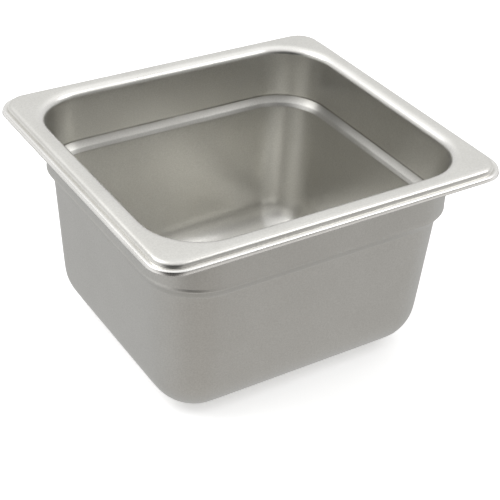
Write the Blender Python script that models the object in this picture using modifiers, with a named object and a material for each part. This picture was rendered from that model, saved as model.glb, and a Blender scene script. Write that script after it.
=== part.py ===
"""Deep-drawn stainless steel food pan, sixth size, four inches deep.

The pan is one sheet blank pressed into shape, so it is one open surface with a
Solidify modifier. The surface is the sheet's upper face: it starts at the free
edge of the rim, crosses the flange, and runs down the inside to the floor. It
is a loft through rounded rectangles whose corners change radius on the way.

Metres, +Z up. The origin is at the middle of the underside. X is the long side.
"""

import math

import bmesh
import bpy
import numpy as np

# Overall size, and the sheet it is pressed from
LENGTH = 0.176
WIDTH = 0.162
SHEET = 0.0008
INSIDE_DEPTH = 0.1016
HEIGHT = INSIDE_DEPTH + SHEET

# Rim: a turned-down bead outside a flat flange
RIM_DROP = 0.0042
BEAD_WIDTH = 0.0025
BEAD_DEPTH = 0.0023
BEAD_BEND = 0.0013
CREASE_BEND = 0.0004
STEP_SLANT = 0.0004
FLANGE_BEND = 0.0022
FLANGE_END = 0.0080
MOUTH_BEND = 0.0041

# Side wall: an upright collar, a shoulder, and a tapered well below it
COLLAR_INSET = FLANGE_END + MOUTH_BEND
COLLAR_DRAFT = 0.0003
COLLAR_DEPTH = 0.0261
SHOULDER_STEP = 0.0028
SHOULDER_DROP = 0.0050
SHOULDER_BEND = 0.0030
WELL_TAPER = 0.0045
FLOOR_BEND = 0.0205

# Corner radii seen from above
RIM_CORNER = 0.0135
COLLAR_CORNER = 0.0252
WELL_TOP_CORNER = 0.0220
WELL_FOOT_CORNER = 0.0200
FLOOR_CORNER = 0.0008

CORNER_SEGMENTS = 8

STEEL_COLOUR = (0.62, 0.61, 0.58, 1.0)


def clear_scene():
    for old in list(bpy.data.objects):
        bpy.data.objects.remove(old, do_unlink=True)


def rounded_path(points):
    """Points of a polyline whose inner corners are arcs.

    Each item is (inset, height, radius, segments). An inset is measured
    inwards from the pan's outermost edge.
    """
    path = [np.array(points[0][:2])]
    for before, here, after in zip(points, points[1:], points[2:]):
        corner = np.array(here[:2])
        back = np.array(before[:2]) - corner
        ahead = np.array(after[:2]) - corner
        back /= np.linalg.norm(back)
        ahead /= np.linalg.norm(ahead)
        half_angle = math.acos(float(np.clip(back @ ahead, -1.0, 1.0))) / 2
        radius, segments = here[2], here[3]
        centre_way = (back + ahead) / np.linalg.norm(back + ahead)
        centre = corner + centre_way * radius / math.sin(half_angle)
        start = corner + back * radius / math.tan(half_angle) - centre
        sweep = math.pi - 2 * half_angle
        turn = math.copysign(sweep, back[0] * ahead[1] - back[1] * ahead[0])
        for step in range(segments + 1):
            angle = -turn * step / segments
            cosine, sine = math.cos(angle), math.sin(angle)
            path.append(centre + np.array([
                start[0] * cosine - start[1] * sine,
                start[0] * sine + start[1] * cosine,
            ]))
    path.append(np.array(points[-1][:2]))
    return path


def sheet_section():
    """The upper face of the sheet, from the rim's free edge to the floor."""
    shoulder_top = COLLAR_INSET + COLLAR_DRAFT
    well_top = shoulder_top + SHOULDER_STEP
    well_foot = well_top + WELL_TAPER
    step_top = BEAD_WIDTH + STEP_SLANT
    floor_edge = well_foot + FLOOR_BEND
    return rounded_path([
        (0.0, HEIGHT - RIM_DROP, 0, 0),
        (0.0, HEIGHT - BEAD_DEPTH, BEAD_BEND, 4),
        (BEAD_WIDTH, HEIGHT - BEAD_DEPTH, CREASE_BEND, 2),
        (step_top, HEIGHT, FLANGE_BEND, 5),
        (COLLAR_INSET, HEIGHT, MOUTH_BEND, 6),
        (shoulder_top, HEIGHT - COLLAR_DEPTH, SHOULDER_BEND, 3),
        (well_top, HEIGHT - COLLAR_DEPTH - SHOULDER_DROP, SHOULDER_BEND, 3),
        (well_foot, SHEET, FLOOR_BEND, 9),
        (floor_edge, SHEET, 0, 0),
    ])


def corner_radius(inset):
    """Plan radius of the corner at an inset; rim and floor are concentric."""
    shoulder_top = COLLAR_INSET + COLLAR_DRAFT
    well_top = shoulder_top + SHOULDER_STEP
    well_foot = well_top + WELL_TAPER
    flange_start = BEAD_WIDTH + STEP_SLANT + FLANGE_BEND
    stations = [
        (0.0, RIM_CORNER),
        (flange_start, RIM_CORNER - flange_start),
        (FLANGE_END, COLLAR_CORNER + MOUTH_BEND),
        (COLLAR_INSET, COLLAR_CORNER),
        (well_top, WELL_TOP_CORNER),
        (well_foot, WELL_FOOT_CORNER),
        (well_foot + WELL_FOOT_CORNER - FLOOR_CORNER, FLOOR_CORNER),
    ]
    insets, radii = zip(*stations)
    return float(np.interp(inset, insets, radii))


def rounded_rectangle(inset, height):
    """One ring of the loft, anticlockwise from above."""
    radius = corner_radius(inset)
    reach_x = LENGTH / 2 - inset - radius
    reach_y = WIDTH / 2 - inset - radius
    ring = []
    for quarter, (side_x, side_y) in enumerate([(1, 1), (-1, 1), (-1, -1), (1, -1)]):
        for step in range(CORNER_SEGMENTS + 1):
            angle = math.pi / 2 * (quarter + step / CORNER_SEGMENTS)
            ring.append((
                side_x * reach_x + radius * math.cos(angle),
                side_y * reach_y + radius * math.sin(angle),
                height,
            ))
    return ring


def loft(name, rings):
    """A skin through equal rings, closed by a flat face on the last one."""
    skin = bmesh.new()
    loops = [[skin.verts.new(point) for point in ring] for ring in rings]
    for outer, inner in zip(loops, loops[1:]):
        for index in range(len(outer)):
            following = (index + 1) % len(outer)
            skin.faces.new((outer[index], outer[following], inner[following], inner[index]))
    skin.faces.new(loops[-1])
    mesh = bpy.data.meshes.new(name)
    skin.to_mesh(mesh)
    skin.free()
    mesh.shade_smooth()
    return bpy.data.objects.new(name, mesh)


def satin_steel():
    material = bpy.data.materials.new("satin_stainless_steel")
    material.use_nodes = True
    shader = material.node_tree.nodes["Principled BSDF"]
    shader.inputs["Base Color"].default_value = STEEL_COLOUR
    shader.inputs["Metallic"].default_value = 1.0
    shader.inputs["Roughness"].default_value = 0.32
    return material


def build_pan():
    rings = [rounded_rectangle(inset, height) for inset, height in sheet_section()]
    pan = loft("pan_shell", rings)
    thickness = pan.modifiers.new("sheet_thickness", "SOLIDIFY")
    thickness.thickness = SHEET
    thickness.offset = -1.0
    thickness.use_even_offset = True
    thickness.use_quality_normals = True
    pan.data.materials.append(satin_steel())
    return pan


def main():
    clear_scene()
    parts = bpy.data.collections.new("deli_food_pan")
    bpy.context.scene.collection.children.link(parts)
    parts.objects.link(build_pan())


main()
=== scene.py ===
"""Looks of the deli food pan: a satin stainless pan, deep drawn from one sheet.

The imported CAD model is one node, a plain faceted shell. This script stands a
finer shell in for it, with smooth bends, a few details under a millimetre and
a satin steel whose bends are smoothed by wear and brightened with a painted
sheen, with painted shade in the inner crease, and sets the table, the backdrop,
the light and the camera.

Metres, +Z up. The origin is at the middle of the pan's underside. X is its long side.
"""

import math

import bmesh
import bpy
import numpy as np
from mathutils import Matrix, Vector


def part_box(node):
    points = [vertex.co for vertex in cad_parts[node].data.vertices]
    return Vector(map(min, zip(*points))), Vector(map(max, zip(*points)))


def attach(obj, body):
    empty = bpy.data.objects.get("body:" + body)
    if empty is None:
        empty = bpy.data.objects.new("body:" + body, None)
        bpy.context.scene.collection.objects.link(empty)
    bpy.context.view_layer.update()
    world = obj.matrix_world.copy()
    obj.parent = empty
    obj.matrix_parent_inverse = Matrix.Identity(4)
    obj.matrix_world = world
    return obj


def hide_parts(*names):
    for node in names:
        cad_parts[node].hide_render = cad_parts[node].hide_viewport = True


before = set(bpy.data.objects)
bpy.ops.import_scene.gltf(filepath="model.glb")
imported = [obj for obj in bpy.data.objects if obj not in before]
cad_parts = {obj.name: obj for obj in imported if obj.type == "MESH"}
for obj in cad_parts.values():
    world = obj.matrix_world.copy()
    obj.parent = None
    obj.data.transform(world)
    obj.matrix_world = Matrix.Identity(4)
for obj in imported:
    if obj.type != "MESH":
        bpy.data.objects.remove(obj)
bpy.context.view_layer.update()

PAN_NODE = "pan_shell"
MM = 0.001

SHEET = 0.8 * MM

# Rim: a flared skirt, a rounded crown, a step up, and a flat flange. Drops are
# below the top, and insets are inwards from the pan's outermost edge.
RIM_DROP = 4.2 * MM
SKIRT_FLARE = 0.6 * MM
CROWN_DROP = 2.0 * MM
CROWN_BEND = 1.2 * MM
BEAD_WIDTH = 2.5 * MM
STEP_FOOT_DROP = 2.4 * MM
STEP_FOOT_BEND = 0.1 * MM
STEP_SLANT = 0.7 * MM
FLANGE_BEND = 2.3 * MM
FLANGE_END = 8.0 * MM
MOUTH_BEND = 4.1 * MM

# Side wall: an upright collar, a shallow groove that ends in a sharp crease, a ledge
# that rounds over into the shoulder, and a tapered well
COLLAR_INSET = FLANGE_END + MOUTH_BEND
COLLAR_DRAFT = 0.3 * MM
COLLAR_DEPTH = 26.2 * MM
GROOVE_DEPTH = 0.15 * MM
GROOVE_RISE = 1.2 * MM
GROOVE_BEND = 1.2 * MM
CREASE_FILLET = 0.25 * MM
LEDGE_STEP = 2.0 * MM
LEDGE_DROP = 3.25 * MM
LEDGE_BEND = 1.5 * MM
SHOULDER_STEP = 2.8 * MM
SHOULDER_DROP = 5.1 * MM
SHOULDER_BEND = 2.0 * MM
WELL_TAPER = 4.5 * MM
FLOOR_BEND = 20.5 * MM

# Insets of the places where the wall changes
COLLAR_FOOT = COLLAR_INSET + COLLAR_DRAFT
CREASE_INSET = COLLAR_FOOT - GROOVE_DEPTH
WELL_TOP = COLLAR_FOOT + SHOULDER_STEP
WELL_FOOT = WELL_TOP + WELL_TAPER

# Corner radii seen from above
RIM_CORNER = 13.5 * MM
COLLAR_CORNER = 25.2 * MM
WELL_TOP_CORNER = 23.4 * MM
WELL_FOOT_CORNER = 20.0 * MM
FLOOR_CORNER = 0.8 * MM

# The cage that Subdivision Surface smooths
CORNER_SEGMENTS = 8
SIDE_SEGMENTS = 5
LONGEST_STEP = 12 * MM
CREASE_SUPPORT = 0.15
SMOOTHING = 2
FREE_EDGE_CREASE = 0.7

# Camera: where it stands round the pan, and how far its axis misses the pan's middle
AZIMUTH = -33.755
ELEVATION = 33.877
ROLL = 3.378
DISTANCE = 0.6077
AIM_HEIGHT = 0.05
AIM_RIGHT = 4.37 * MM
AIM_UP = -10.14 * MM
SENSOR = 36.0
LENS = 92.53

# Steel: the colours that it reflects, its roughness, and the size of its texture
STEEL_BRIGHT = (0.670, 0.663, 0.634, 1.0)
STEEL_DULL = (0.645, 0.637, 0.607, 1.0)
STEEL_FLECK = (0.40, 0.39, 0.36, 1.0)
# Colour of the bends that handling rubs: partly real wear, partly a painted sheen that brightens
# their reflection
STEEL_WORN_SHEEN = (0.80, 0.79, 0.77, 1.0)
# Dark colour painted along the inner crease as painted shade
CREASE_PAINTED_SHADE = (0.16, 0.15, 0.13, 1.0)
SPECKLE_SHARE = 0.24
# How much of the crease's painted shade colour is mixed in
CREASE_SHADE_SHARE = 0.85
ROUGHNESS = 0.32
CLOUD_ROUGHNESS = 0.025
GRAIN_ROUGHNESS = 0.02
SCUFF_ROUGHNESS = 0.04
WORN_SMOOTHER = 0.07
GRAIN_PER_METRE = 1500.0
GRAIN_DEPTH = 0.03 * MM
CLOUDS_PER_METRE = 40.0
DRAW_LINES_PER_METRE = 700.0
DRAW_STRETCH = 0.04
DRAW_LINE_DEPTH = 0.02 * MM
SCUFFS_PER_METRE = 900.0
SCUFF_STRETCH = (0.06, 1.0, 0.4)

# Where handling wears the steel smoother and a painted sheen brightens its colour: (inset, drop,
# reach)
WEAR_AND_SHEEN_PLACES = [
    (0.3 * MM, CROWN_DROP, 2.5 * MM),
    (0.0, RIM_DROP, 2.5 * MM),
    (COLLAR_INSET - 1.0 * MM, 0.0, 2.5 * MM),
]

# Studio: a grey ground, a bright band just under the horizon, a wall and a ceiling.
# The places where one gives way to the next are heights of the direction, from -1
# straight down to 1 straight up.
GROUND_LEVEL = 0.58
BAND_LEVEL = 1.5
WALL_LEVEL = 0.9
CEILING_LEVEL = 1.3
GROUND_ENDS = -0.35
BAND_MIDDLE = -0.1
WALL_STARTS = 0.0
WALL_ENDS = 0.4
CEILING_STARTS = 0.7

# What darkens or lights the room in one direction. A flag is (azimuth, elevation,
# spread, darkening), a softbox is (name, azimuth, elevation, half angle, radiance),
# and the warm side is (azimuth, elevation, spread, share). Angles are in degrees.
# Azimuth 0 is the front and 90 is the +X side.
BLACK_FLAGS = [(10, 20, 75, 0.6), (320, 10, 55, 1.25)]
SOFTBOXES = [
    ("softbox_back_left", 240, 50, 17.5, 3.3),
    ("softbox_right", 53, 41, 14.0, 2.5),
]
WARM_SIDE = (345, -30, 100, 1.0)
ROOM_WHITE = (1.0, 1.0, 1.0, 1.0)
ROOM_WARM = (1.0, 0.965, 0.925, 1.0)
LIGHT_DISTANCE = 3.0
FLOOR_SIZE = 16.0
FLOOR_REFLECTANCE = 0.9
FLOOR_GLOW = 0.4
BACKDROP_RADIUS = 7.5
BACKDROP_HEIGHT = 8.0


def rounded_path(points):
    """Points of a polyline whose inner corners are arcs.

    Each item is (inset, height, radius, segments). A radius of 0 keeps the
    point itself, to hold the smoothed surface near it.
    """
    path = [np.array(points[0][:2])]
    for before, here, after in zip(points, points[1:], points[2:]):
        corner = np.array(here[:2])
        if here[2] == 0:
            path.append(corner)
            continue
        back = np.array(before[:2]) - corner
        ahead = np.array(after[:2]) - corner
        back /= np.linalg.norm(back)
        ahead /= np.linalg.norm(ahead)
        half_angle = math.acos(float(np.clip(back @ ahead, -1.0, 1.0))) / 2
        radius, segments = here[2], here[3]
        centre_way = (back + ahead) / np.linalg.norm(back + ahead)
        centre = corner + centre_way * radius / math.sin(half_angle)
        start = corner + back * radius / math.tan(half_angle) - centre
        sweep = math.pi - 2 * half_angle
        turn = math.copysign(sweep, back[0] * ahead[1] - back[1] * ahead[0])
        for step in range(segments + 1):
            angle = -turn * step / segments
            cosine, sine = math.cos(angle), math.sin(angle)
            path.append(centre + np.array([
                start[0] * cosine - start[1] * sine,
                start[0] * sine + start[1] * cosine,
            ]))
    path.append(np.array(points[-1][:2]))
    return path


def filled_in(path, longest):
    """The path with extra points, so that no step is longer than given."""
    dense = [path[0]]
    for start, end in zip(path, path[1:]):
        steps = max(1, math.ceil(float(np.linalg.norm(end - start)) / longest))
        dense += [start + (end - start) * step / steps for step in range(1, steps + 1)]
    return dense


def sheet_section(height):
    """The upper face of the sheet, from the rim's free edge to the floor."""
    crease_height = height - COLLAR_DEPTH
    return filled_in(rounded_path([
        (0.0, height - RIM_DROP, 0, 0),
        (SKIRT_FLARE, height - CROWN_DROP, CROWN_BEND, 5),
        (BEAD_WIDTH, height - STEP_FOOT_DROP, STEP_FOOT_BEND, 3),
        (BEAD_WIDTH + STEP_SLANT, height, FLANGE_BEND, 5),
        (COLLAR_INSET, height, MOUTH_BEND, 6),
        (COLLAR_FOOT, crease_height + GROOVE_RISE, GROOVE_BEND, 3),
        (CREASE_INSET, crease_height, CREASE_FILLET, 3),
        (
            CREASE_INSET + CREASE_SUPPORT * LEDGE_STEP,
            crease_height - CREASE_SUPPORT * LEDGE_DROP,
            0, 0,
        ),
        (CREASE_INSET + LEDGE_STEP, crease_height - LEDGE_DROP, LEDGE_BEND, 3),
        (WELL_TOP, crease_height - SHOULDER_DROP, SHOULDER_BEND, 4),
        (WELL_FOOT, SHEET, FLOOR_BEND, 9),
        (WELL_FOOT + FLOOR_BEND, SHEET, 0, 0),
    ]), LONGEST_STEP)


def corner_radius(inset):
    """Plan radius of the corner at an inset; rim and floor are concentric."""
    flange_start = BEAD_WIDTH + STEP_SLANT + FLANGE_BEND
    stations = [
        (0.0, RIM_CORNER),
        (flange_start, RIM_CORNER - flange_start),
        (FLANGE_END, COLLAR_CORNER + MOUTH_BEND),
        (COLLAR_INSET, COLLAR_CORNER),
        (WELL_TOP, WELL_TOP_CORNER),
        (WELL_FOOT, WELL_FOOT_CORNER),
        (WELL_FOOT + WELL_FOOT_CORNER - FLOOR_CORNER, FLOOR_CORNER),
    ]
    insets, radii = zip(*stations)
    return float(np.interp(inset, insets, radii))


def rounded_rectangle(half_length, half_width, radius, height):
    """One ring of the loft, anticlockwise from above."""
    reach_x, reach_y = half_length - radius, half_width - radius
    arcs = []
    for quarter, (side_x, side_y) in enumerate([(1, 1), (-1, 1), (-1, -1), (1, -1)]):
        angles = math.pi / 2 * (quarter + np.arange(CORNER_SEGMENTS + 1) / CORNER_SEGMENTS)
        arcs.append(np.stack([
            side_x * reach_x + radius * np.cos(angles),
            side_y * reach_y + radius * np.sin(angles),
        ], axis=1))
    ring = []
    for arc, following in zip(arcs, arcs[1:] + arcs[:1]):
        ring += list(arc)
        for step in range(1, SIDE_SEGMENTS):
            share = step / SIDE_SEGMENTS
            ring.append(arc[-1] * (1 - share) + following[0] * share)
    return [(x, y, height) for x, y in ring]


def loft(name, rings, marks):
    """A skin through equal rings, closed by a flat face on the last one.

    Each mark is a vertex attribute: its name and its value on every ring.
    """
    skin = bmesh.new()
    for mark in marks:
        skin.verts.layers.float.new(mark)
    loops = [[skin.verts.new(point) for point in ring] for ring in rings]
    for mark, values in marks.items():
        layer = skin.verts.layers.float[mark]
        for ring, value in zip(loops, values):
            for vertex in ring:
                vertex[layer] = value
    for outer, inner in zip(loops, loops[1:]):
        for index in range(len(outer)):
            following = (index + 1) % len(outer)
            skin.faces.new((outer[index], outer[following], inner[following], inner[index]))
    skin.faces.new(loops[-1])
    mesh = bpy.data.meshes.new(name)
    skin.to_mesh(mesh)
    skin.free()
    mesh.shade_smooth()
    piece = bpy.data.objects.new(name, mesh)
    bpy.context.scene.collection.objects.link(piece)
    return piece


def nearness(point, place, reach):
    """1 at a place on the section, falling to 0 at the reach from it."""
    return max(0.0, 1 - math.dist(point, place) / reach)


def section_marks(section, height):
    """Where handling wears the sheet, smoother and brightened as a painted sheen, and where painted
    shade darkens the inner crease.
    """
    crease = (CREASE_INSET, height - COLLAR_DEPTH)
    return {
        "wear_and_sheen": [
            max(nearness(point, (inset, height - drop), reach) for inset, drop, reach in WEAR_AND_SHEEN_PLACES)
            for point in section
        ],
        "painted_crease_shade": [nearness(point, crease, GROOVE_RISE) for point in section],
    }


def build_pan():
    """The pan's finer shell, in the space of its CAD node."""
    low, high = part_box(PAN_NODE)
    half_length, half_width = (high[0] - low[0]) / 2, (high[1] - low[1]) / 2
    section = sheet_section(high[2])
    rings = [
        rounded_rectangle(half_length - inset, half_width - inset, corner_radius(inset), height)
        for inset, height in section
    ]
    pan = loft("pan_sheet", rings, section_marks(section, high[2]))
    thickness = pan.modifiers.new("sheet_thickness", "SOLIDIFY")
    thickness.thickness = SHEET
    thickness.offset = -1.0
    thickness.use_even_offset = True
    thickness.use_quality_normals = True
    thickness.edge_crease_outer = FREE_EDGE_CREASE
    thickness.edge_crease_inner = FREE_EDGE_CREASE
    smooth = pan.modifiers.new("smooth_bends", "SUBSURF")
    smooth.levels = SMOOTHING
    smooth.render_levels = SMOOTHING
    pan.data.materials.append(satin_steel())
    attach(pan, "root")
    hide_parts(PAN_NODE)
    return pan


class NodeKit:
    """Short ways to add and join the nodes of one material or world.

    A value is a number, a colour or the output of another node.
    """

    def __init__(self, tree):
        self.nodes = tree.nodes
        self.links = tree.links

    def set(self, socket, value):
        if isinstance(value, bpy.types.NodeSocket):
            self.links.new(value, socket)
        else:
            socket.default_value = value

    def math(self, operation, first, second=0.0):
        node = self.nodes.new("ShaderNodeMath")
        node.operation = operation
        self.set(node.inputs[0], first)
        self.set(node.inputs[1], second)
        return node.outputs[0]

    def vector(self, operation, first, second):
        node = self.nodes.new("ShaderNodeVectorMath")
        node.operation = operation
        self.set(node.inputs[0], first)
        self.set(node.inputs[1], second)
        return node.outputs["Value" if operation == "DOT_PRODUCT" else "Vector"]

    def span(self, value, source, target, smooth=False):
        """The value's place in the source span, moved to the target span."""
        node = self.nodes.new("ShaderNodeMapRange")
        node.interpolation_type = "SMOOTHSTEP" if smooth else "LINEAR"
        self.set(node.inputs["Value"], value)
        for label, number in zip(("From Min", "From Max", "To Min", "To Max"), source + target):
            node.inputs[label].default_value = number
        return node.outputs["Result"]

    def blend(self, share, first, second):
        node = self.nodes.new("ShaderNodeMix")
        node.data_type = "RGBA"
        self.set(node.inputs["Factor"], share)
        self.set(node.inputs["A"], first)
        self.set(node.inputs["B"], second)
        return node.outputs["Result"]

    def stretched(self, where, scale):
        node = self.nodes.new("ShaderNodeMapping")
        self.set(node.inputs["Vector"], where)
        node.inputs["Scale"].default_value = scale
        return node.outputs["Vector"]

    def noise(self, where, scale, detail):
        node = self.nodes.new("ShaderNodeTexNoise")
        self.set(node.inputs["Vector"], where)
        node.inputs["Scale"].default_value = scale
        node.inputs["Detail"].default_value = detail
        return node.outputs["Fac"]

    def bump(self, height, strength, distance, under=None):
        node = self.nodes.new("ShaderNodeBump")
        node.inputs["Strength"].default_value = strength
        node.inputs["Distance"].default_value = distance
        self.set(node.inputs["Height"], height)
        if under is not None:
            self.set(node.inputs["Normal"], under)
        return node.outputs["Normal"]

    def mark(self, name):
        node = self.nodes.new("ShaderNodeAttribute")
        node.attribute_name = name
        return node.outputs["Fac"]

    def height_of(self, vector):
        node = self.nodes.new("ShaderNodeSeparateXYZ")
        self.set(node.inputs["Vector"], vector)
        return node.outputs["Z"]


def satin_steel():
    """Cold rolled sheet after drawing: pearly grain, faint draw lines, bends smoothed by wear and
    brightened as a painted sheen, and painted shade along the inner crease.
    """
    material = bpy.data.materials.new("satin_stainless_steel")
    material.use_nodes = True
    kit = NodeKit(material.node_tree)
    shader = kit.nodes["Principled BSDF"]
    where = kit.nodes.new("ShaderNodeTexCoord").outputs["Object"]
    normal = kit.nodes.new("ShaderNodeNewGeometry").outputs["Normal"]

    # Draw lines are only on the walls, and the crease's painted shade only on the face towards the
    # middle
    facing_up = kit.math("ABSOLUTE", kit.height_of(normal))
    on_walls = kit.span(facing_up, (0.25, 0.6), (1.0, 0.0), smooth=True)
    outwards = kit.vector("DOT_PRODUCT", normal, kit.vector("MULTIPLY", where, (1.0, 1.0, 0.0)))
    inward = kit.span(outwards, (-0.01, 0.0), (1.0, 0.0))

    grain = kit.noise(where, GRAIN_PER_METRE, 3.0)
    clouds = kit.noise(where, CLOUDS_PER_METRE, 4.0)
    drawn = kit.noise(kit.stretched(where, (1.0, 1.0, DRAW_STRETCH)), DRAW_LINES_PER_METRE, 2.0)
    scuffs = kit.noise(kit.stretched(where, SCUFF_STRETCH), SCUFFS_PER_METRE, 1.0)
    scuffed = kit.span(scuffs, (0.70, 0.78), (0.0, 1.0), smooth=True)
    # Rubbed places: less roughness from wear, and a brighter colour as a painted sheen
    wear_and_sheen = kit.math("MULTIPLY", kit.mark("wear_and_sheen"), kit.span(clouds, (0.35, 0.6), (0.7, 1.0)))
    # Painted shade: a dark band along the inner crease, on the inner face only
    painted_crease_shade = kit.math("MULTIPLY", kit.mark("painted_crease_shade"), kit.span(clouds, (0.3, 0.6), (0.7, 1.0)))
    painted_crease_shade = kit.math("MULTIPLY", painted_crease_shade, inward)

    tone = kit.blend(kit.span(clouds, (0.35, 0.65), (0.0, 1.0)), STEEL_DULL, STEEL_BRIGHT)
    speckled = kit.blend(kit.span(grain, (0.35, 0.65), (0.0, SPECKLE_SHARE)), tone, STEEL_FLECK)
    # Rubbed places brightened here as a painted sheen
    worn_and_sheened = kit.blend(wear_and_sheen, speckled, STEEL_WORN_SHEEN)
    # The inner crease is darkened here as painted shade
    crease_shaded = kit.blend(kit.math("MULTIPLY", painted_crease_shade, CREASE_SHADE_SHARE), worn_and_sheened, CREASE_PAINTED_SHADE)
    kit.set(shader.inputs["Base Color"], crease_shaded)
    shader.inputs["Metallic"].default_value = 1.0

    rough = kit.span(clouds, (0.3, 0.7), (ROUGHNESS - CLOUD_ROUGHNESS, ROUGHNESS + CLOUD_ROUGHNESS))
    rough = kit.math("ADD", rough, kit.span(grain, (0.3, 0.7), (-GRAIN_ROUGHNESS, GRAIN_ROUGHNESS)))
    rough = kit.math("ADD", rough, kit.math("MULTIPLY", scuffed, SCUFF_ROUGHNESS))
    rough = kit.math("SUBTRACT", rough, kit.math("MULTIPLY", wear_and_sheen, WORN_SMOOTHER))
    kit.set(shader.inputs["Roughness"], rough)

    lines = kit.bump(kit.math("MULTIPLY", drawn, on_walls), 0.5, DRAW_LINE_DEPTH)
    pearls = kit.bump(grain, 0.6, GRAIN_DEPTH, under=lines)
    kit.set(shader.inputs["Normal"], pearls)
    return material


def pale_material(name, reflectance, glow):
    """A matt white that also glows a little, so that it looks white."""
    material = bpy.data.materials.new(name)
    material.use_nodes = True
    shader = material.node_tree.nodes["Principled BSDF"]
    shader.inputs["Base Color"].default_value = (reflectance, reflectance, reflectance, 1.0)
    shader.inputs["Roughness"].default_value = 0.9
    shader.inputs["Specular IOR Level"].default_value = 0.0
    shader.inputs["Emission Color"].default_value = (1.0, 1.0, 1.0, 1.0)
    shader.inputs["Emission Strength"].default_value = glow
    return material


def build_floor():
    """A plain pale table. The steel mirrors the studio's graded light, not the table."""
    bpy.ops.mesh.primitive_plane_add(size=FLOOR_SIZE, location=(0, 0, 0))
    floor = bpy.context.object
    floor.name = "studio_floor"
    floor.visible_glossy = False
    floor.visible_shadow = False
    floor.data.materials.append(pale_material("pale_floor", FLOOR_REFLECTANCE, FLOOR_GLOW))


def build_backdrop():
    """A plain pale wall all round the table. Only the camera sees it."""
    bpy.ops.mesh.primitive_cylinder_add(
        vertices=96, radius=BACKDROP_RADIUS, depth=BACKDROP_HEIGHT, end_fill_type="NOTHING",
        location=(0, 0, BACKDROP_HEIGHT / 2),
    )
    backdrop = bpy.context.object
    backdrop.name = "studio_backdrop"
    backdrop.visible_diffuse = False
    backdrop.visible_glossy = False
    backdrop.visible_shadow = False
    backdrop.data.materials.append(pale_material("pale_backdrop", 0.0, 1.0))


def direction(azimuth, elevation):
    """The way from the pan's middle: azimuth 0 is the front, 90 the +X side."""
    around, up = math.radians(azimuth), math.radians(elevation)
    return Vector((
        math.sin(around) * math.cos(up),
        -math.cos(around) * math.cos(up),
        math.sin(up),
    ))


def soft_light(name, azimuth, elevation, half_angle, radiance):
    """A round softbox that faces the pan and looks as wide as its half angle."""
    way = direction(azimuth, elevation)
    data = bpy.data.lights.new(name, "AREA")
    data.shape = "DISK"
    data.size = 2 * LIGHT_DISTANCE * math.tan(math.radians(half_angle))
    data.energy = radiance * math.pi * math.pi * (data.size / 2) ** 2
    light = bpy.data.objects.new(name, data)
    light.location = way * LIGHT_DISTANCE
    light.rotation_mode = "QUATERNION"
    light.rotation_quaternion = way.to_track_quat("Z", "Y")
    bpy.context.scene.collection.objects.link(light)


def light_studio():
    """Two softboxes in a room whose brightness depends only on the direction."""
    world = bpy.data.worlds.new("studio")
    bpy.context.scene.world = world
    world.use_nodes = True
    kit = NodeKit(world.node_tree)
    background = kit.nodes["Background"]
    where = kit.nodes.new("ShaderNodeTexCoord").outputs["Generated"]
    height = kit.height_of(where)

    def beside(azimuth, elevation, spread, strength):
        """The strength in one direction, fading smoothly over the spread."""
        cosine = kit.vector("DOT_PRODUCT", where, direction(azimuth, elevation))
        angle = kit.math("ARCCOSINE", cosine)
        return kit.span(angle, (0.0, math.radians(spread)), (strength, 0.0), smooth=True)

    brightness = kit.span(height, (GROUND_ENDS, BAND_MIDDLE), (GROUND_LEVEL, BAND_LEVEL))
    wall = kit.span(height, (BAND_MIDDLE, WALL_STARTS), (0.0, WALL_LEVEL - BAND_LEVEL))
    ceiling = kit.span(height, (WALL_ENDS, CEILING_STARTS), (0.0, CEILING_LEVEL - WALL_LEVEL))
    brightness = kit.math("ADD", kit.math("ADD", brightness, wall), ceiling)
    for flag in BLACK_FLAGS:
        brightness = kit.math("SUBTRACT", brightness, beside(*flag))
    kit.set(background.inputs["Strength"], kit.math("MAXIMUM", brightness, 0.0))
    kit.set(background.inputs["Color"], kit.blend(beside(*WARM_SIDE), ROOM_WHITE, ROOM_WARM))
    for softbox in SOFTBOXES:
        soft_light(*softbox)


def build_camera():
    """Stands the camera off the pan's middle, turns it by the roll and shifts its aim."""
    around = math.radians(AZIMUTH)
    back = direction(AZIMUTH, ELEVATION)
    level = Vector((math.cos(around), math.sin(around), 0.0))
    above = back.cross(level)
    tilt = math.radians(ROLL)
    right = level * math.cos(tilt) + above * math.sin(tilt)
    top = above * math.cos(tilt) - level * math.sin(tilt)
    data = bpy.data.cameras.new("camera")
    data.sensor_width = SENSOR
    data.lens = LENS
    data.clip_start = 0.01
    data.clip_end = 50.0
    camera = bpy.data.objects.new("camera", data)
    place = Vector((0, 0, AIM_HEIGHT)) + right * AIM_RIGHT + top * AIM_UP + back * DISTANCE
    turned = Matrix((right, top, back)).transposed().to_4x4()
    camera.matrix_world = Matrix.Translation(place) @ turned
    bpy.context.scene.collection.objects.link(camera)
    bpy.context.scene.camera = camera


build_pan()
build_floor()
build_backdrop()
light_studio()
build_camera()
bpy.context.scene.view_settings.view_transform = "Standard"

bpy.context.view_layer.update()
